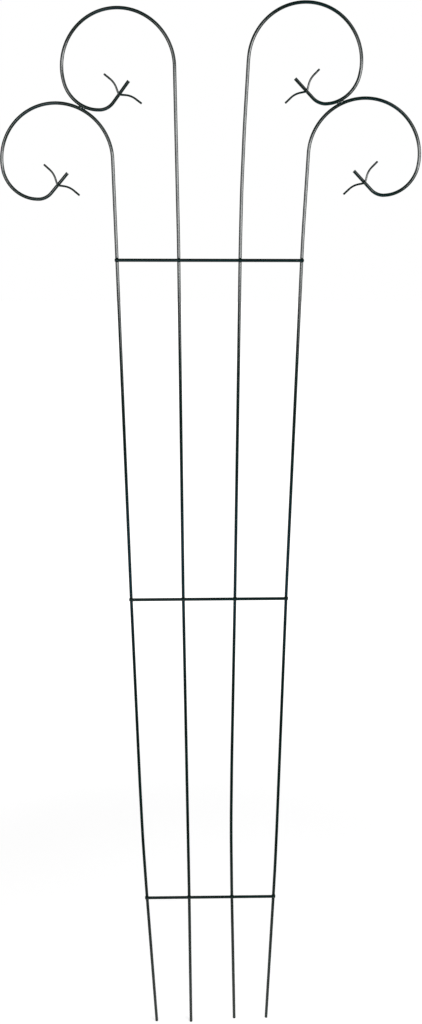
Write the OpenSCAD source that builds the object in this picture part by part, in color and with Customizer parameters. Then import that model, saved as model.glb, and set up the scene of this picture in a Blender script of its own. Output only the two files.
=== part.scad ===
// Espalier frame: a garden trellis of bent round wire.
// Four tall stakes fan out from the ground and end in scrolls, three bars cross them in front,
// and a small forked tendril sits on the tail of each scroll. Every crossing is welded.
// Millimetres, +Z up, the frame faces -Y. The origin is under the middle of the frame, at the feet.

/* [Wire] */
// Diameter of the stake wire
wire_d = 5; // [4:0.1:7]
// Diameter of the crossbar wire
bar_d = 5; // [4:0.1:7]
// Diameter of the tendril wire
tendril_d = 3; // [2:0.1:4]
// Rounding of the cut wire ends
end_round = 0.6; // [0.2:0.1:0.9]
// Gap that the weld metal fills between two wires
root_gap = 0.3; // [0.1:0.05:0.6]

/* [Crossbars] */
// Height of the bottom bar on the middle line
bottom_bar_z = 246.5; // [200:0.5:320]
// Height of the middle bar on the middle line
middle_bar_z = 777; // [650:1:900]
// Height of the top bar on the middle line
top_bar_z = 1303.5; // [1150:0.5:1500]
// Slope of the bottom, middle and top bar, right end up, in degrees
bar_tilts = [0.75, 0.5, -0.1]; // [-2:0.05:2]
// Length of bar that shows outside the outer stakes
bar_stub = 0.5; // [0.2:0.1:8]

/* [Feet] */
// Left outer foot, from the middle line
left_outer_foot = 93.7; // [70:0.1:130]
// Left inner foot, from the middle line
left_inner_foot = 34.5; // [20:0.1:60]
// Right inner foot, from the middle line
right_inner_foot = 40; // [20:0.1:60]
// Right outer foot, from the middle line
right_outer_foot = 95; // [70:0.1:130]
// Height by which the right pair was welded above the left pair
right_pair_rise = 7; // [0:0.5:15]
// Height by which each outer foot ends above its inner one
outer_foot_rise = 1.3; // [0:0.1:10]

/* [Stake bends] */
// Lean of the uprights, outward, from left outer to right outer, in degrees
upright_leans = [1.6, 0.75, 0.75, 1.3]; // [-0.5:0.05:3]
// Turn from each leg to its upright, outward, in degrees
knee_turns = [-1.65, 0.25, 1.95, -1.05]; // [-3:0.05:3]
// Turn above the middle bar, outward, in degrees
waist_turns = [-0.25, -0.35, -0.2, 0.35]; // [-2:0.05:2]
// Turn above the top bar, outward, in degrees
shoulder_turns = [0.05, 0.55, 3, 1.15]; // [-3:0.05:3]
// Radius of the gentle bend from leg to upright
knee_r = 8000; // [2000:100:12000]
// Radius of the gentle bend above the middle bar
waist_r = 4000; // [1000:100:8000]
// Radius of the gentle bend above the top bar of an outer stake
outer_shoulder_r = 2500; // [1000:100:4000]
// Radius of the gentle bend above the top bar of an inner stake
inner_shoulder_r = 5000; // [1000:100:5000]
// Distance below the bottom bar's middle at which a leg starts to bend
knee_drop = 8; // [6:0.5:20]
// Straight length kept above the middle and the top bar before a bend starts
bend_clear = 4; // [3.6:0.1:12]

/* [Scrolls] */
// Height above the top bar at which the left inner stake turns over
left_inner_neck = 270.5; // [256.5:0.5:400]
// Height above the top bar at which the right inner stake turns over
right_inner_neck = 281.5; // [278.5:0.5:400]
// Radius of the scroll's main sweep
scroll_r = 79.8; // [60:0.2:95]
// Turn of each main sweep, from left outer to right outer, in degrees
scroll_turns = [185.2, 192.7, 188.4, 186.1]; // [180:0.1:200]
// Radius of the curl that closes the scroll
curl_r = 50.8; // [40:0.2:60]
// Turn of each curl, from left outer to right outer, in degrees
curl_turns = [82, 76, 72.5, 76.5]; // [65:0.5:90]
// Radius of the hook before the straight tail
hook_r = 26; // [18:0.5:34]
// Turn of each hook, from left outer to right outer, in degrees
hook_turns = [50.5, 53, 51.5, 50.5]; // [45:0.5:60]
// Straight tail at the end of the scroll
tail_len = 37; // [28:0.5:45]

/* [Tendrils] */
// Distance of each tendril from the tip of its tail, from left outer to right outer
tendril_sets = [21.5, 22.5, 23.5, 22.5]; // [10:0.5:25]
// Radius of the fork's bend, at the middle of the tendril
fork_r = 5; // [3:0.5:10]
// Angle between each arm and the tail, in degrees
fork_angle = 57; // [50:1:70]
// Straight length of each arm
arm_len = 6.5; // [4:0.5:15]
// Radius of the wing bend of each arm
wing_r = 27; // [15:1:45]
// Turn of the wing bend, in degrees
wing_turn = 32; // [10:1:40]
// Straight end of each arm
wing_end = 11; // [4:0.5:15]

/* [Welds] */
// Diameter of the weld metal at a bar or a scroll
weld_d = 7; // [6:0.1:7]
// Diameter of the weld metal at a tendril
tendril_weld_d = 5; // [4.5:0.1:5.5]

/* [Hidden] */
$fn = 48;

coat = "#14302b";

// Stakes are numbered from left to right, bars from the ground up.
left_outer = 0;
left_inner = 1;
right_inner = 2;
right_outer = 3;
bottom = 0;
middle = 1;
top = 2;

feet = [left_outer_foot, left_inner_foot, right_inner_foot, right_outer_foot];
foot_rises = [outer_foot_rise, 0, right_pair_rise, right_pair_rise + outer_foot_rise];
neck_rises = [0, left_inner_neck, right_inner_neck, 0];
bar_heights = [bottom_bar_z, middle_bar_z, top_bar_z];

// A stake is laid out in its own upright plane: outward, height, and lean towards the outside.
function is_left(i) = i == left_outer || i == left_inner;
function is_outer(i) = i == left_outer || i == right_outer;
function partner(i) = i == left_outer ? left_inner : right_inner;
function side(i) = is_left(i) ? -1 : 1;

function after_run(s, run) = [s[0] + run * sin(s[2]), s[1] + run * cos(s[2]), s[2]];
function bend_centre(s, r, turn) = [
    s[0] + sign(turn) * r * cos(s[2]),
    s[1] - sign(turn) * r * sin(s[2])
];
function after_bend(s, r, turn) = let (c = bend_centre(s, r, turn), a = s[2] + turn) [
    c[0] - sign(turn) * r * cos(a),
    c[1] + sign(turn) * r * sin(a),
    a
];
function run_up_to(s, z) = (z - s[1]) / cos(s[2]);

// The places along a stake at which one straight or bend ends and the next starts.
function foot(i) = [feet[i], foot_rises[i], upright_leans[i] - knee_turns[i]];
function leg_run(i) = run_up_to(foot(i), bottom_bar_z - knee_drop);
function knee(i) = after_run(foot(i), leg_run(i));
function hip(i) = after_bend(knee(i), knee_r, knee_turns[i]);
function hip_run(i) = run_up_to(hip(i), middle_bar_z + bend_clear);
function waist(i) = after_run(hip(i), hip_run(i));
function chest(i) = after_bend(waist(i), waist_r, waist_turns[i]);
function chest_run(i) = run_up_to(chest(i), top_bar_z + bend_clear);
function shoulder(i) = after_run(chest(i), chest_run(i));
function shoulder_r(i) = is_outer(i) ? outer_shoulder_r : inner_shoulder_r;
function neck(i) = after_bend(shoulder(i), shoulder_r(i), shoulder_turns[i]);
function neck_run(i) = is_outer(i) ? touching_run(i) : run_up_to(neck(i), top_bar_z + neck_rises[i]);
function spring(i) = after_run(neck(i), neck_run(i));
function curl(i) = after_bend(spring(i), scroll_r, scroll_turns[i]);
function hook(i) = after_bend(curl(i), curl_r, curl_turns[i]);
function tail(i) = after_bend(hook(i), hook_r, hook_turns[i]);
function tail_at(i, run) = after_run(tail(i), run);

function sweep_centre(i) = bend_centre(spring(i), scroll_r, scroll_turns[i]);
function curl_centre(i) = bend_centre(curl(i), curl_r, curl_turns[i]);

// An outer stake rises until its main sweep meets the curl of the inner scroll beside it.
function touching_reach() = scroll_r + curl_r + wire_d + root_gap;
function touching_run(i) =
    let (
        s = neck(i),
        c = bend_centre(s, scroll_r, scroll_turns[i]),
        w = c - curl_centre(partner(i)),
        b = w[0] * sin(s[2]) + w[1] * cos(s[2]),
        reach = touching_reach()
    )
    -b - sqrt(b * b - w * w + reach * reach);

// Outward distance at which a bar, of height h on the middle line, crosses a straight or a bend.
function meets_run(s, h, slope) =
    let (k = tan(s[2])) (s[0] + (h - s[1]) * k) / (1 - k * slope);
function meets_bend(c, r, turn, h, slope) =
    let (
        e = h + c[0] * slope - c[1],
        k = 1 + slope * slope
    )
    c[0] - (e * slope + sign(turn) * sqrt(k * r * r - e * e)) / k;

// The point where a bar crosses a stake: outward and height.
// The bottom bar lies at the start of the knee's bend, the others on the straights above it.
function crossing(i, j) =
    let (
        h = bar_heights[j],
        turn = knee_turns[i],
        slope = side(i) * tan(bar_tilts[j]),
        u = j == bottom && turn != 0
            ? meets_bend(bend_centre(knee(i), knee_r, turn), knee_r, turn, h, slope)
            : meets_run(j == top ? chest(i) : hip(i), h, slope)
    )
    [u, h + u * slope];

// The frame is set so that its reach is the same to the left and right, and to the front and back.
function reach_out(i) = sweep_centre(i)[0] + scroll_r + wire_d / 2;
middle_shift = (reach_out(left_outer) - reach_out(right_outer)) / 2;
front_reach = wire_d / 2 + root_gap + bar_d;
back_reach = max(wire_d, weld_d) / 2;
stake_y = (front_reach - back_reach) / 2;
bar_drop = wire_d / 2 + root_gap + bar_d / 2;
tendril_drop = wire_d / 2 + root_gap + tendril_d / 2;
root_drop = wire_d / 2 + root_gap / 2;

// Free length of a cutting wire past the weld metal
overrun = 2;
// The wire draws a little thinner where it is bent
bend_thinning = 0.1;
// Length by which a straight reaches over the start of a bend
lap = 0.4;
// Largest distance between a true curve and its facets
chord_sag = 0.01;

function facets(r) = ceil(180 / acos(1 - chord_sag / r));

// Places

module in_frame() {
    translate([middle_shift, stake_y, 0]) children();
}

module on_side(i) {
    if (is_left(i)) mirror([1, 0, 0]) children();
    else children();
}

module at(s) {
    translate([s[0], 0, s[1]]) rotate([0, s[2], 0]) children();
}

// Wire

// Straight wire from the place up, between two bends
module run(d, len) {
    translate([0, 0, -lap]) cylinder(d = d, h = len + lap * 2);
}

// Straight wire that starts at a cut end with its edge taken off
module start_run(d, len) {
    rotate_extrude()
        polygon([
            [0, 0],
            [d / 2 - end_round, 0],
            [d / 2, end_round],
            [d / 2, len + lap],
            [0, len + lap]
        ]);
}

// Straight wire that stops at a cut end
module end_run(d, len) {
    translate([0, 0, len]) mirror([0, 0, 1]) start_run(d, len);
}

// Straight wire with both ends cut
module cut_run(d, len) {
    rotate_extrude()
        polygon([
            [0, 0],
            [d / 2 - end_round, 0],
            [d / 2, end_round],
            [d / 2, len - end_round],
            [d / 2 - end_round, len],
            [0, len]
        ]);
}

// Bent wire that starts at the place and turns outward, or inward for a negative turn.
// Its two ends lie inside the straights beside it.
module bend(d, r, turn) {
    trim = asin(lap / 2 / r);
    if (abs(turn) > trim * 3)
        rotate([0, 0, turn < 0 ? 180 : 0])
            translate([r, 0, 0])
                rotate([90, 0, 180])
                    rotate([0, 0, trim])
                        rotate_extrude(angle = abs(turn) - trim * 2, $fn = facets(r + d / 2))
                            translate([r, 0])
                                circle(d = d - bend_thinning, $fn = facets(d));
}

// The climbing part of a stake, from its foot to just above the top bar
module upright(i) {
    at(foot(i)) start_run(wire_d, leg_run(i));
    at(knee(i)) bend(wire_d, knee_r, knee_turns[i]);
    at(hip(i)) run(wire_d, hip_run(i));
    at(waist(i)) bend(wire_d, waist_r, waist_turns[i]);
    at(chest(i)) run(wire_d, chest_run(i));
}

module stake(i) {
    color(coat)
        in_frame()
            on_side(i) {
                upright(i);
                at(shoulder(i)) bend(wire_d, shoulder_r(i), shoulder_turns[i]);
                at(neck(i)) run(wire_d, neck_run(i));
                at(spring(i)) bend(wire_d, scroll_r, scroll_turns[i]);
                at(curl(i)) run(wire_d, 0);
                at(curl(i)) bend(wire_d, curl_r, curl_turns[i]);
                at(hook(i)) run(wire_d, 0);
                at(hook(i)) bend(wire_d, hook_r, hook_turns[i]);
                at(tail(i)) end_run(wire_d, tail_len);
            }
}

// A bar lies in front of the stakes and ends just outside the outer two.
module bar(j) {
    l = crossing(left_outer, j);
    r = crossing(right_outer, j);
    past = wire_d / 2 + bar_stub;
    span = norm([l[0] + r[0], r[1] - l[1]]) + past * 2;
    color(coat)
        in_frame()
            translate([-l[0], -bar_drop, l[1]])
                rotate([0, 90 - bar_tilts[j], 0])
                    translate([0, 0, -past])
                        cut_run(bar_d, span);
}

// The places along a tendril: the fork's bend runs from arm to arm, the rest is alike on both arms.
fork_turn = 180 - fork_angle * 2;
fork_start = [-fork_r * sin(fork_turn / 2), fork_r * (1 - cos(fork_turn / 2)), 90 + fork_turn / 2];
arm = after_bend(fork_start, fork_r, -fork_turn);
wing = after_run(arm, arm_len);
wing_tip = after_bend(wing, wing_r, wing_turn);

module tendril_arm() {
    at(arm) run(tendril_d, arm_len);
    at(wing) bend(tendril_d, wing_r, wing_turn);
    at(wing_tip) end_run(tendril_d, wing_end);
}

module tendril_wire() {
    translate([0, -tendril_drop, 0]) {
        at(fork_start) bend(tendril_d, fork_r, -fork_turn);
        tendril_arm();
        mirror([1, 0, 0]) tendril_arm();
    }
}

module on_tail(i) {
    in_frame()
        on_side(i)
            at(tail_at(i, tail_len - tendril_sets[i]))
                children();
}

module tendril(i) {
    color(coat) on_tail(i) tendril_wire();
}

// Welds

module weld_ball(d) {
    translate([0, -root_drop, 0]) rotate([90, 0, 0]) sphere(d = d, $fn = facets(d));
}

// Weld metal between a stake and the bar in front of it
module bar_weld(i, j) {
    p = crossing(i, j);
    cut = weld_d / 2 + overrun;
    color(coat)
        in_frame()
            on_side(i)
                difference() {
                    translate([p[0], 0, p[1]]) weld_ball(weld_d);
                    upright(i);
                    translate([p[0], -bar_drop, p[1]])
                        rotate([0, 90 - side(i) * bar_tilts[j], 0])
                            translate([0, 0, -cut])
                                run(bar_d, cut * 2);
                }
}

// Weld metal between an outer scroll and the inner scroll that rests on it
module scroll_weld(i) {
    o = sweep_centre(i);
    c = curl_centre(partner(i));
    root_r = scroll_r + wire_d / 2 + root_gap / 2;
    p = o + (c - o) / norm(c - o) * root_r;
    color(coat)
        in_frame()
            on_side(i)
                difference() {
                    translate([p[0], 0, p[1]]) sphere(d = weld_d, $fn = facets(weld_d));
                    at(spring(i)) bend(wire_d, scroll_r, scroll_turns[i]);
                    at(curl(partner(i))) bend(wire_d, curl_r, curl_turns[partner(i)]);
                }
}

// Weld metal between a scroll's tail and its tendril
module tendril_weld(i) {
    cut = tendril_weld_d / 2 + overrun;
    color(coat)
        on_tail(i)
            difference() {
                weld_ball(tendril_weld_d);
                translate([0, 0, -cut]) run(wire_d, cut * 2);
                tendril_wire();
            }
}

// Pieces

module left_outer_stake() stake(left_outer);
module left_inner_stake() stake(left_inner);
module right_inner_stake() stake(right_inner);
module right_outer_stake() stake(right_outer);
module bottom_bar() bar(bottom);
module middle_bar() bar(middle);
module top_bar() bar(top);
module left_outer_tendril() tendril(left_outer);
module left_inner_tendril() tendril(left_inner);
module right_inner_tendril() tendril(right_inner);
module right_outer_tendril() tendril(right_outer);
module weld_bottom_left_outer() bar_weld(left_outer, bottom);
module weld_bottom_left_inner() bar_weld(left_inner, bottom);
module weld_bottom_right_inner() bar_weld(right_inner, bottom);
module weld_bottom_right_outer() bar_weld(right_outer, bottom);
module weld_middle_left_outer() bar_weld(left_outer, middle);
module weld_middle_left_inner() bar_weld(left_inner, middle);
module weld_middle_right_inner() bar_weld(right_inner, middle);
module weld_middle_right_outer() bar_weld(right_outer, middle);
module weld_top_left_outer() bar_weld(left_outer, top);
module weld_top_left_inner() bar_weld(left_inner, top);
module weld_top_right_inner() bar_weld(right_inner, top);
module weld_top_right_outer() bar_weld(right_outer, top);
module weld_scroll_left() scroll_weld(left_outer);
module weld_scroll_right() scroll_weld(right_outer);
module weld_tendril_left_outer() tendril_weld(left_outer);
module weld_tendril_left_inner() tendril_weld(left_inner);
module weld_tendril_right_inner() tendril_weld(right_inner);
module weld_tendril_right_outer() tendril_weld(right_outer);

left_outer_stake();
left_inner_stake();
right_inner_stake();
right_outer_stake();
bottom_bar();
middle_bar();
top_bar();
left_outer_tendril();
left_inner_tendril();
right_inner_tendril();
right_outer_tendril();
weld_bottom_left_outer();
weld_bottom_left_inner();
weld_bottom_right_inner();
weld_bottom_right_outer();
weld_middle_left_outer();
weld_middle_left_inner();
weld_middle_right_inner();
weld_middle_right_outer();
weld_top_left_outer();
weld_top_left_inner();
weld_top_right_inner();
weld_top_right_outer();
weld_scroll_left();
weld_scroll_right();
weld_tendril_left_outer();
weld_tendril_left_inner();
weld_tendril_right_inner();
weld_tendril_right_outer();
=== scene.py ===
import math

import bmesh
import bpy
from mathutils import Matrix, Vector, noise
from mathutils.kdtree import KDTree


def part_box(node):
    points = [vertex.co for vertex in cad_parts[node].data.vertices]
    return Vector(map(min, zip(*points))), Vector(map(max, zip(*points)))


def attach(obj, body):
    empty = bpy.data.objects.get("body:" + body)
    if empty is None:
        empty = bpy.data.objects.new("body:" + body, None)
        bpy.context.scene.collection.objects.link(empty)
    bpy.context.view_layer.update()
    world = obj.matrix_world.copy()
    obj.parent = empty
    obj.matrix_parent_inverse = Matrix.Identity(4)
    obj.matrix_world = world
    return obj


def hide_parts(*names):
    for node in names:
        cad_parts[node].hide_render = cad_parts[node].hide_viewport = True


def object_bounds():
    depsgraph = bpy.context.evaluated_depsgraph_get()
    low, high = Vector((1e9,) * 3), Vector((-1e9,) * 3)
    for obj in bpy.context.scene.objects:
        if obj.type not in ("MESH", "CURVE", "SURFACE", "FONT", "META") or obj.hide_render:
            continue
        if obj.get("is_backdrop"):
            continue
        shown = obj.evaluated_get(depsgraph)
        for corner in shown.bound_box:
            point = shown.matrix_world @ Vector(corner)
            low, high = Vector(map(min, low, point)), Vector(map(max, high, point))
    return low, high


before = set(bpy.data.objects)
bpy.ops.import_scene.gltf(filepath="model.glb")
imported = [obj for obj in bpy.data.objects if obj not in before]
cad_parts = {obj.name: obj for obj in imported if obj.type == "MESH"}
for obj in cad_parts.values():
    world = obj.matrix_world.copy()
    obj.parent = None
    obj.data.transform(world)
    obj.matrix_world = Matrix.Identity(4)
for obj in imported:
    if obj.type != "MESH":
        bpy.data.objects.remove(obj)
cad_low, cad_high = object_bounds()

# Stakes
# Four lengths of 5 mm mild steel wire, each bent cold on a jig in one piece: a cut foot, a tall upright
# and a scroll with a straight tail. The frame was welded bare, then powder coated dark green all over.
MM = 0.001
SIDES = ("left_outer", "left_inner", "right_inner", "right_outer")
COAT_DEEP = "#061410"
COAT_PALE = "#0b201c"
COAT_DUST = "#2c3935"
COAT_IOR = 1.7
FILM_DRIFT = 45 * MM
FILM_SPREAD = (0.35, 0.65)
DUST_SPACING = 2.2 * MM
DUST_CUT = (0.78, 0.84)
DULL_PATCH = 9 * MM
DULL_SPREAD = (0.3, 0.7)
PEEL_HEIGHT = 0.012 * MM
WIRE_PEEL = 1.6 * MM
WIRE_GLOSS = (0.09, 0.15)
# A node that mixes colours has its factor, its two colours and its result at these sockets
MIX_FACTOR, MIX_FROM, MIX_TO, MIXED = 0, 6, 7, 2


def linear(colour):
    """An sRGB hex colour as the linear RGBA that a socket takes."""
    parts = [int(colour[i:i + 2], 16) / 255 for i in (1, 3, 5)]
    flat = [p / 12.92 if p <= 0.04045 else ((p + 0.055) / 1.055) ** 2.4 for p in parts]
    return (*flat, 1.0)


def add_node(tree, kind, sockets=(), **settings):
    """A node with its settings, and its inputs set to values or linked from other nodes' outputs."""
    node = tree.nodes.new(kind)
    for name, value in settings.items():
        setattr(node, name, value)
    for key, value in dict(sockets).items():
        if isinstance(value, bpy.types.NodeSocket):
            tree.links.new(value, node.inputs[key])
        else:
            node.inputs[key].default_value = value
    return node


def powder_coat(name, peel, gloss):
    """Polyester powder, sprayed dry and melted to a film in the oven.

    The eye gets a near-black green whose depth drifts with the film's thickness, hard highlights that
    waver on the orange peel, duller patches, and the odd speck of dust caught in the melt.
    Peel is the size of the ripples, and gloss the roughness of the best and of the dullest patch.
    """
    material = bpy.data.materials.new(name)
    material.use_nodes = True
    tree = material.node_tree
    tree.nodes.clear()
    place = add_node(tree, "ShaderNodeTexCoord").outputs["Object"]

    film = add_node(tree, "ShaderNodeTexNoise",
                    {"Vector": place, "Scale": 1 / FILM_DRIFT, "Detail": 3.0, "Roughness": 0.55})
    depth = add_node(tree, "ShaderNodeMapRange",
                     {"Value": film.outputs["Fac"], "From Min": FILM_SPREAD[0], "From Max": FILM_SPREAD[1]})
    green = add_node(tree, "ShaderNodeMix",
                     {MIX_FACTOR: depth.outputs["Result"], MIX_FROM: linear(COAT_DEEP),
                      MIX_TO: linear(COAT_PALE)}, data_type="RGBA")

    grit = add_node(tree, "ShaderNodeTexNoise",
                    {"Vector": place, "Scale": 1 / DUST_SPACING, "Detail": 0.0})
    speck = add_node(tree, "ShaderNodeMapRange",
                     {"Value": grit.outputs["Fac"], "From Min": DUST_CUT[0], "From Max": DUST_CUT[1]})
    dusted = add_node(tree, "ShaderNodeMix",
                      {MIX_FACTOR: speck.outputs["Result"], MIX_FROM: green.outputs[MIXED],
                       MIX_TO: linear(COAT_DUST)}, data_type="RGBA")

    patch = add_node(tree, "ShaderNodeTexNoise",
                     {"Vector": place, "Scale": 1 / DULL_PATCH, "Detail": 2.0})
    dullness = add_node(tree, "ShaderNodeMapRange",
                        {"Value": patch.outputs["Fac"], "From Min": DULL_SPREAD[0],
                         "From Max": DULL_SPREAD[1], "To Min": gloss[0], "To Max": gloss[1]})
    ripple = add_node(tree, "ShaderNodeTexNoise",
                      {"Vector": place, "Scale": 1 / peel, "Detail": 2.0, "Roughness": 0.5})
    bump = add_node(tree, "ShaderNodeBump",
                    {"Height": ripple.outputs["Fac"], "Strength": 1.0, "Distance": PEEL_HEIGHT})
    coat = add_node(tree, "ShaderNodeBsdfPrincipled",
                    {"Base Color": dusted.outputs[MIXED], "Roughness": dullness.outputs["Result"],
                     "IOR": COAT_IOR, "Normal": bump.outputs["Normal"]})
    add_node(tree, "ShaderNodeOutputMaterial", {"Surface": coat.outputs["BSDF"]})
    return material


wire_coat = powder_coat("powder_coated_wire", WIRE_PEEL, WIRE_GLOSS)

# The CAD mesh has facets of about 10 mm round the bends, so each stake is swept anew along its middle
WIRE_R = 2.5 * MM
WIRE_ROUND = 14
SAME_POINT = 0.001 * MM
RING_REACH = 1.2 * MM
RING_POINTS = 30
RING_TRIES = 3
STRAIGHT_ON = math.cos(math.radians(15))
STRAIGHT = 20 * MM
END_REACH = 6 * MM
END_RUN = 4.5 * MM
HANDLES_IN_STEP = 3
BEND_CUTS = 5
QUAD = 4
END_ROUND = 0.6 * MM
END_CUTS = 4
UP = Vector((0, 0, 1))
INWARDS = Vector((0, 1, 0))


def middle_of(node):
    """The middle of a CAD node's box."""
    low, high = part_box(node)
    return (Vector(low) + Vector(high)) / 2


def wire_line(node):
    """The middle of a bent wire from foot to tip, read off the rings of points in its CAD mesh."""
    shell = bmesh.new()
    shell.from_mesh(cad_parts[node].data)
    bmesh.ops.remove_doubles(shell, verts=shell.verts, dist=SAME_POINT)
    shell.normal_update()
    skin = [v.co.copy() for v in shell.verts]
    axis = [v.co - v.normal * WIRE_R for v in shell.verts]
    shell.free()
    finder = KDTree(len(axis))
    for index, spot in enumerate(axis):
        finder.insert(spot, index)
    finder.balance()
    rings = []
    taken = set()
    for index, spot in enumerate(axis):
        if index in taken:
            continue
        for _ in range(RING_TRIES):
            ring = finder.find_range(spot, RING_REACH)
            spot = sum((found[0] for found in ring), Vector()) / len(ring)
        taken.update(found[1] for found in ring)
        if len(ring) >= RING_POINTS:
            rings.append((spot, [skin[found[1]] for found in ring]))

    # From the foot, the next ring is the nearest one that lies ahead, as long as there is one
    chain = [min(rings, key=lambda ring: ring[0].z)]
    ahead = UP
    while True:
        here = chain[-1][0]
        rings = [ring for ring in rings if (ring[0] - here).length > RING_REACH]
        onward = [ring for ring in rings if (ring[0] - here).normalized().dot(ahead) > STRAIGHT_ON]
        if not onward:
            break
        chain.append(min(onward, key=lambda ring: (ring[0] - here).length))
        ahead = (chain[-1][0] - here).normalized()

    # A ring's middle lies halfway between its two sides, in the one plane that the whole wire is bent in
    level = middle_of(node).y
    line = []
    for index, (spot, points) in enumerate(chain):
        along = chain[min(index + 1, len(chain) - 1)][0] - chain[max(index - 1, 0)][0]
        across = along.cross(INWARDS).normalized()
        sides = [(point - spot).dot(across) for point in points]
        centre = spot + across * (min(sides) + max(sides)) / 2
        line.append(Vector((centre.x, level, centre.z)))

    # Both ends run on to where the mesh stops, with a knot close by, so that the shading of the rounded
    # end doesn't reach far along the wire
    for end, inner, place in ((0, 1, 1), (-1, -2, -1)):
        out = (line[end] - line[inner]).normalized()
        near = [(spot - line[end]).dot(out) for spot in skin if (spot - line[end]).length < END_REACH]
        line[end] += out * max(near)
        line.insert(place, line[end] - out * END_RUN)
    return line


def swept_wire(line, steps):
    """A round wire along a line of knots, with flat caps. Steps are the ways from knot to knot."""
    sweep = bpy.data.curves.new("sweep", "CURVE")
    sweep.dimensions = "3D"
    sweep.bevel_depth = WIRE_R
    sweep.bevel_resolution = WIRE_ROUND
    sweep.use_fill_caps = True
    sweep.resolution_u = BEND_CUTS
    spline = sweep.splines.new("BEZIER")
    spline.bezier_points.add(len(line) - 1)
    for index, (knot, spot) in enumerate(zip(spline.bezier_points, line)):
        before = steps[max(index - 1, 0)]
        after = steps[min(index, len(steps) - 1)]
        # A long run is straight and sets the direction. Between two short ones, the bend runs on
        if max(before.length, after.length) > STRAIGHT:
            way = max(before, after, key=lambda step: step.length).normalized()
        else:
            way = (before.normalized() * after.length + after.normalized() * before.length).normalized()
        knot.co = spot
        knot.handle_left_type = "FREE"
        knot.handle_right_type = "FREE"
        knot.handle_left = spot - way * before.length / HANDLES_IN_STEP
        knot.handle_right = spot + way * after.length / HANDLES_IN_STEP
    model = bpy.data.objects.new("sweep", sweep)
    bpy.context.collection.objects.link(model)
    wire = bmesh.new()
    wire.from_mesh(model.evaluated_get(bpy.context.evaluated_depsgraph_get()).to_mesh())
    bpy.data.objects.remove(model)
    bpy.data.curves.remove(sweep)
    bmesh.ops.remove_doubles(wire, verts=wire.verts, dist=SAME_POINT)
    return wire


tails = {}
for side in SIDES:
    line = wire_line(side + "_stake")
    steps = [b - a for a, b in zip(line, line[1:])]
    tails[side] = steps[-1].normalized()
    bent = swept_wire(line, steps)
    # Only the two caps have more than four corners, and their rims are slightly rounded by the coat
    rims = [e for f in bent.faces if len(f.verts) > QUAD for e in f.edges]
    bmesh.ops.bevel(bent, geom=rims, offset=END_ROUND, segments=END_CUTS, profile=0.5, affect="EDGES",
                    material=-1)
    bmesh.ops.recalc_face_normals(bent, faces=bent.faces)
    # The CAD box is that of the facets, and the true curve stands a few hundredths of a millimetre out
    for v in bent.verts:
        v.co.x = min(max(v.co.x, cad_low[0]), cad_high[0])
        v.co.z = min(max(v.co.z, cad_low[2]), cad_high[2])
    for face in bent.faces:
        face.smooth = len(face.verts) == QUAD
    mesh = bpy.data.meshes.new(side + "_stake_wire")
    bent.to_mesh(mesh)
    bent.free()
    mesh.materials.append(wire_coat)
    piece = bpy.data.objects.new(side + "_stake_wire", mesh)
    bpy.context.collection.objects.link(piece)
    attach(piece, "root")
    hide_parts(side + "_stake")

# Crossbars
# Three straight lengths of the same wire, sheared off so that they end just past the outer stakes.
# They lie across the front of the stakes and are welded to all four.
BARS = ("bottom", "middle", "top")


def coat_node(name, material):
    """A CAD node gets the coat in place of its plain colour."""
    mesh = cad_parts[name].data
    mesh.materials.clear()
    mesh.materials.append(material)


for bar in BARS:
    coat_node(bar + "_bar", wire_coat)

# Tendrils
# Four short lengths of 3 mm wire, bent to a fork with two curved wings like a vine's tendril.
# Each lies across the front of a scroll's tail and is tacked to it at the fork.
for side in SIDES:
    coat_node(side + "_tendril", wire_coat)

# Welds
# Every crossing is fused: the two wires are pressed together hot, and the metal that is squeezed out
# freezes as a small lumpy collar. The coat bridges the corners, so a bead flows into both wires.
WELD_PEEL = 1.1 * MM
WELD_GLOSS = (0.16, 0.26)
CORE_CUTS = 4
ARM_ROUND = 48
BEAD_THINNED = 0.8
BEAD_GRAIN = 0.22 * MM
BEAD_FLOW = 10
FLOW_SHARE = 0.5
LUMP_SIZE = 2.4 * MM
LUMP_HEIGHT = 0.2 * MM
LUMP_REACH = 1.3
weld_coat = powder_coat("powder_coated_weld", WELD_PEEL, WELD_GLOSS)


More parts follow.
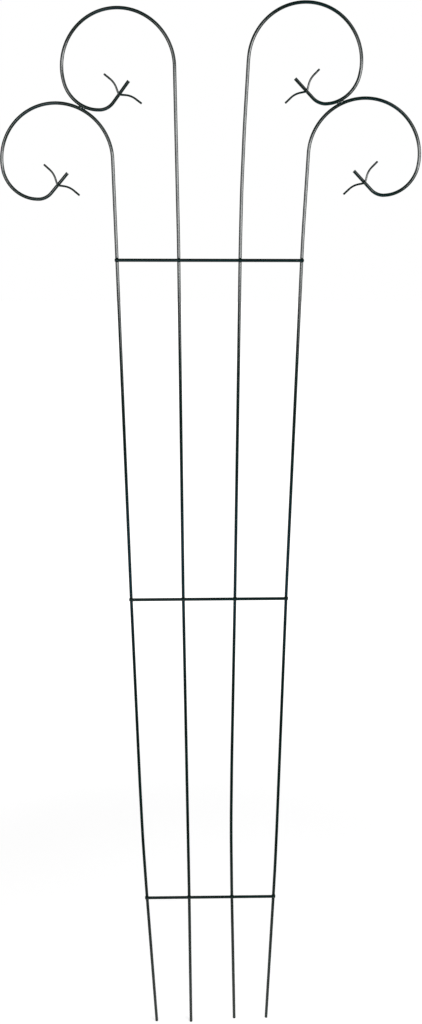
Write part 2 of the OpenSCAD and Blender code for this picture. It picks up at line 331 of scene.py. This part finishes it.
def weld_bead(node, cores, wires):
    """A bead: cores of squeezed metal that flow along each wire.

    A core is given by its middle and radius. A wire is given by a point on its axis, its direction, its
    radius and the lengths wetted ahead and back. The bead thins along it until it sinks into the wire.
    """
    lump = bmesh.new()
    for middle, radius in cores:
        bmesh.ops.create_icosphere(lump, subdivisions=CORE_CUTS, radius=radius,
                                   matrix=Matrix.Translation(middle))
    for middle, along, radius, ahead, back in wires:
        for way, length in ((along, ahead), (-along, back)):
            turn = UP.rotation_difference(way).to_matrix().to_4x4()
            arm = Matrix.Translation(middle + way * length / 2) @ turn
            bmesh.ops.create_cone(lump, cap_ends=True, segments=ARM_ROUND, radius1=radius,
                                  radius2=radius * BEAD_THINNED, depth=length, matrix=arm)
    rough = bpy.data.meshes.new("rough_bead")
    lump.to_mesh(rough)
    lump.free()

    # One skin over core and wires, smoothed until its corners are filled
    model = bpy.data.objects.new("rough_bead", rough)
    bpy.context.collection.objects.link(model)
    skin = model.modifiers.new("skin", "REMESH")
    skin.mode = "VOXEL"
    skin.voxel_size = BEAD_GRAIN
    bead = bmesh.new()
    bead.from_mesh(model.evaluated_get(bpy.context.evaluated_depsgraph_get()).to_mesh())
    bpy.data.objects.remove(model)
    bpy.data.meshes.remove(rough)
    for _ in range(BEAD_FLOW):
        bmesh.ops.smooth_vert(bead, verts=bead.verts, factor=FLOW_SHARE,
                              use_axis_x=True, use_axis_y=True, use_axis_z=True)
    bead.normal_update()
    for v in bead.verts:
        near = max(1.0 - (v.co - middle).length / (LUMP_REACH * radius) for middle, radius in cores)
        v.co += v.normal * LUMP_HEIGHT * max(0.0, near) * noise.noise(v.co / LUMP_SIZE)
    for face in bead.faces:
        face.smooth = True

    mesh = bpy.data.meshes.new(node + "_bead")
    bead.to_mesh(mesh)
    bead.free()
    mesh.materials.append(weld_coat)
    piece = bpy.data.objects.new(node + "_bead", mesh)
    bpy.context.collection.objects.link(piece)
    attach(piece, "root")
    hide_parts(node)


# Where a bar crosses a stake, the bead runs along both. At a bar's end it stops short of the cut
BAR_CORE_R = 3.4 * MM
BAR_WETTED = 4.2 * MM
BAR_END_BARE = 0.4 * MM
stake_y = middle_of("left_inner_stake").y
bar_y = middle_of("middle_bar").y
for level, bar in enumerate(BARS):
    row_left = middle_of("weld_" + bar + "_left_outer")
    row_right = middle_of("weld_" + bar + "_right_outer")
    along_bar = (row_right - row_left).normalized()
    lower = BARS[max(level - 1, 0)]
    upper = BARS[max(level, 1)]
    bar_low, bar_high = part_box(bar + "_bar")
    for side in SIDES:
        root = middle_of("weld_" + bar + "_" + side)
        right_arm = min(BAR_WETTED, bar_high[0] - root.x - BAR_END_BARE)
        left_arm = min(BAR_WETTED, root.x - bar_low[0] - BAR_END_BARE)
        run = middle_of("weld_" + upper + "_" + side) - middle_of("weld_" + lower + "_" + side)
        weld_bead("weld_" + bar + "_" + side, ((root, BAR_CORE_R),), (
            (Vector((root.x, stake_y, root.z)), run.normalized(), WIRE_R, BAR_WETTED, BAR_WETTED),
            (Vector((root.x, bar_y, root.z)), along_bar, WIRE_R, right_arm, left_arm),
        ))

# Where two scrolls lie side by side, a row of cores makes a seam: each core's place along it and radius
SCROLL_R = 79.8 * MM
SCROLL_WETTED = 3.5 * MM
SEAM = ((-2.8, 2.4), (-1.4, 2.8), (0, 2.95), (1.4, 2.8), (2.8, 2.4))
for hand in ("left", "right"):
    root = middle_of("weld_scroll_" + hand)
    low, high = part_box(hand + "_outer_stake")
    reach = SCROLL_R + WIRE_R
    sweep_x = low[0] + reach if hand == "left" else high[0] - reach
    across = Vector((root.x - sweep_x, 0, root.z - (high[2] - reach))).normalized()
    along = Vector((-across.z, 0, across.x))
    seam = [(root + along * step * MM, core_r * MM) for step, core_r in SEAM]
    weld_bead("weld_scroll_" + hand, seam, (
        (root - across * WIRE_R, along, WIRE_R, SCROLL_WETTED, SCROLL_WETTED),
        (root + across * WIRE_R, along, WIRE_R, SCROLL_WETTED, SCROLL_WETTED),
    ))

# A tendril's tack is smaller, and runs only a little way along the fork, which bends away at once
TENDRIL_R = 1.5 * MM
TENDRIL_CORE_R = 2.4 * MM
TAIL_WETTED = 3.5 * MM
FORK_WETTED = 1.5 * MM
tendril_y = middle_of("left_inner_tendril").y
for side in SIDES:
    root = middle_of("weld_tendril_" + side)
    along_fork = Vector((tails[side].z, 0, -tails[side].x))
    weld_bead("weld_tendril_" + side, ((root, TENDRIL_CORE_R),), (
        (Vector((root.x, stake_y, root.z)), tails[side], WIRE_R, TAIL_WETTED, TAIL_WETTED),
        (Vector((root.x, tendril_y, root.z)), along_fork, TENDRIL_R, FORK_WETTED, FORK_WETTED),
    ))

# Stage
# A wide sheet of white paper on the ground, in a white room. Close to the frame it takes a soft shadow,
# and further off it is lit to full white, so that paper and room run into each other.
FLOOR_REACH = 9.0
floor_mesh = bmesh.new()
bmesh.ops.create_grid(floor_mesh, x_segments=1, y_segments=1, size=FLOOR_REACH)
floor_data = bpy.data.meshes.new("floor")
floor_mesh.to_mesh(floor_data)
floor_mesh.free()
floor = bpy.data.objects.new("floor", floor_data)
bpy.context.collection.objects.link(floor)
floor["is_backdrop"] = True

# White paper, matt: shadows stay soft and grey on it. For glossy rays it glows with a painted reflection:
# white close by and behind the frame, dark in front, and one cool glowing patch where no lamp is.
WHITE = linear("#ffffff")
PAPER = "#e8e8e8"
PAPER_LIFT = 0.6
SHADOW_NEAR = 0.7
SHADOW_FAR = 1.8
SHEEN_REACH = 0.6
SHEEN_PEAK = 0.68
BEYOND_REACH = 0.6
GLOW = "#6faada"
GLOW_AT = (0.0, -2.6, 0.0)
GLOW_CORE = 0.5
GLOW_REACH = 1.1
GLOW_PEAK = 1.5


def mirrored_part(tree, ray):
    """One for a ray that left something glossy or clear, and nought for any other."""
    return add_node(tree, "ShaderNodeMath", {0: ray["Is Glossy Ray"], 1: ray["Is Transmission Ray"]},
                    operation="MAXIMUM").outputs[0]


paper = bpy.data.materials.new("white_paper")
paper.use_nodes = True
tree = paper.node_tree
tree.nodes.clear()
ray = add_node(tree, "ShaderNodeLightPath").outputs
place = add_node(tree, "ShaderNodeTexCoord").outputs["Object"]
away = add_node(tree, "ShaderNodeVectorMath", {0: place}, operation="LENGTH").outputs["Value"]
lift = add_node(tree, "ShaderNodeMapRange",
                {"Value": away, "From Min": SHADOW_NEAR, "From Max": SHADOW_FAR,
                 "To Min": PAPER_LIFT, "To Max": 1.0}, interpolation_type="SMOOTHSTEP").outputs["Result"]
lifted = add_node(tree, "ShaderNodeEmission", {"Color": WHITE, "Strength": lift})
lit = add_node(tree, "ShaderNodeBsdfDiffuse", {"Color": linear(PAPER)})
seen = add_node(tree, "ShaderNodeAddShader", {0: lit.outputs[0], 1: lifted.outputs[0]})
to_camera = add_node(tree, "ShaderNodeMixShader",
                     {0: ray["Is Camera Ray"], 1: lit.outputs[0], 2: seen.outputs[0]})
# Painted reflection: to glossy rays the paper glows white near the frame, fading out at SHEEN_REACH
close = add_node(tree, "ShaderNodeMapRange",
                 {"Value": away, "From Min": SHEEN_REACH, "From Max": 0.0,
                  "To Max": SHEEN_PEAK}).outputs["Result"]
depth = add_node(tree, "ShaderNodeSeparateXYZ", {"Vector": place}).outputs["Y"]
# Painted reflection: to glossy rays it also glows white behind the frame
beyond = add_node(tree, "ShaderNodeMapRange",
                  {"Value": depth, "From Min": 0.0, "From Max": BEYOND_REACH}).outputs["Result"]
shine = add_node(tree, "ShaderNodeMath", {0: close, 1: beyond}, operation="MAXIMUM").outputs[0]
painted_white_reflection = add_node(tree, "ShaderNodeEmission", {"Color": WHITE, "Strength": shine})
# Painted reflection: a cool glowing patch in front of the frame, seen by glossy rays only
from_glow = add_node(tree, "ShaderNodeVectorMath", {0: place, 1: GLOW_AT},
                     operation="DISTANCE").outputs["Value"]
cool = add_node(tree, "ShaderNodeMapRange",
                {"Value": from_glow, "From Min": GLOW_REACH, "From Max": GLOW_CORE,
                 "To Max": GLOW_PEAK}).outputs["Result"]
painted_cool_glow = add_node(tree, "ShaderNodeEmission", {"Color": linear(GLOW), "Strength": cool})
painted_reflection = add_node(tree, "ShaderNodeAddShader", {0: painted_white_reflection.outputs[0], 1: painted_cool_glow.outputs[0]})
# Glossy and clear rays see the painted reflection, while the camera and diffuse rays see the plain paper
paper_face = add_node(tree, "ShaderNodeMixShader",
                      {0: mirrored_part(tree, ray), 1: to_camera.outputs[0], 2: painted_reflection.outputs[0]})
add_node(tree, "ShaderNodeOutputMaterial", {"Surface": paper_face.outputs[0]})
floor_data.materials.append(paper)

# The camera sees a white room. The wire mirrors it white behind the frame and dark behind the camera,
# and it lights everything with an even grey.
ROOM_DARK = "#2a2e30"
ROOM_FILL = "#898989"
ROOM_TURN = (0.25, 0.95)
world = bpy.data.worlds.new("white_room")
bpy.context.scene.world = world
world.use_nodes = True
tree = world.node_tree
tree.nodes.clear()
ray = add_node(tree, "ShaderNodeLightPath").outputs
way = add_node(tree, "ShaderNodeTexCoord").outputs["Generated"]
part = add_node(tree, "ShaderNodeSeparateXYZ", {"Vector": way}).outputs
behind = add_node(tree, "ShaderNodeMapRange",
                  {"Value": part["Y"], "From Min": ROOM_TURN[0], "From Max": ROOM_TURN[1]},
                  interpolation_type="SMOOTHSTEP").outputs["Result"]
room = add_node(tree, "ShaderNodeMix", {MIX_FACTOR: behind, MIX_FROM: linear(ROOM_DARK), MIX_TO: WHITE},
                data_type="RGBA").outputs[MIXED]
bounced = add_node(tree, "ShaderNodeMix",
                   {MIX_FACTOR: mirrored_part(tree, ray), MIX_FROM: linear(ROOM_FILL), MIX_TO: room},
                   data_type="RGBA").outputs[MIXED]
shade = add_node(tree, "ShaderNodeMix", {MIX_FACTOR: ray["Is Camera Ray"], MIX_FROM: bounced, MIX_TO: WHITE},
                 data_type="RGBA").outputs[MIXED]
sky = add_node(tree, "ShaderNodeBackground", {"Color": shade, "Strength": 1.0})
add_node(tree, "ShaderNodeOutputWorld", {"Surface": sky.outputs[0]})

# Lamps
# Two upright soft boxes in front of the frame, left and right of the camera, with dimmer panels by them.
# All stop short of the middle and of the ground, so bars and legs stay dark while the tall wires shine.
PANELS = {
    # Degrees to the right of the camera, then distance, width, foot and head in metres, then radiance
    "left_softbox": (-28, 3.0, 1.3, 0.85, 1.87, 6.4),
    "left_fill": (-14, 3.2, 1.5, 0.75, 2.3, 0.4),
    "left_edge": (-12.4, 3.1, 0.38, 0.9, 3.2, 1.2),
    "right_softbox": (38, 3.0, 2.4, 0.9, 1.66, 10.0),
    "right_skirt": (38, 3.0, 2.4, 0.65, 0.9, 3.5),
    "right_crown": (42, 3.0, 1.6, 1.66, 3.6, 1.7),
}
for name, (azimuth, distance, width, foot, head, radiance) in PANELS.items():
    light = bpy.data.lights.new(name, "AREA")
    light.shape = "RECTANGLE"
    light.size = width
    light.size_y = head - foot
    light.energy = radiance * math.pi * width * (head - foot)
    panel = bpy.data.objects.new(name, light)
    turn = math.radians(azimuth)
    panel.location = (distance * math.sin(turn), -distance * math.cos(turn), (foot + head) / 2)
    panel.rotation_euler = (math.pi / 2, 0, turn)
    panel.visible_camera = False
    bpy.context.collection.objects.link(panel)

# Camera
# Held at eye height, two metres in front, and tipped down so that the frame fills the tall picture.
PHOTO_HEIGHT = 1024
FOCAL_PX = 1400
SENSOR = 36.0
TILT = math.radians(16.4)
EYE = (0.82 * MM, -2072.84 * MM, 1528.7 * MM)
camera_data = bpy.data.cameras.new("camera")
camera_data.sensor_width = SENSOR
camera_data.lens = SENSOR * FOCAL_PX / PHOTO_HEIGHT
camera = bpy.data.objects.new("camera", camera_data)
camera.location = EYE
camera.rotation_euler = (math.pi / 2 - TILT, 0, 0)
bpy.context.collection.objects.link(camera)
bpy.context.scene.camera = camera
bpy.context.scene.view_settings.view_transform = "Standard"

low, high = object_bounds()
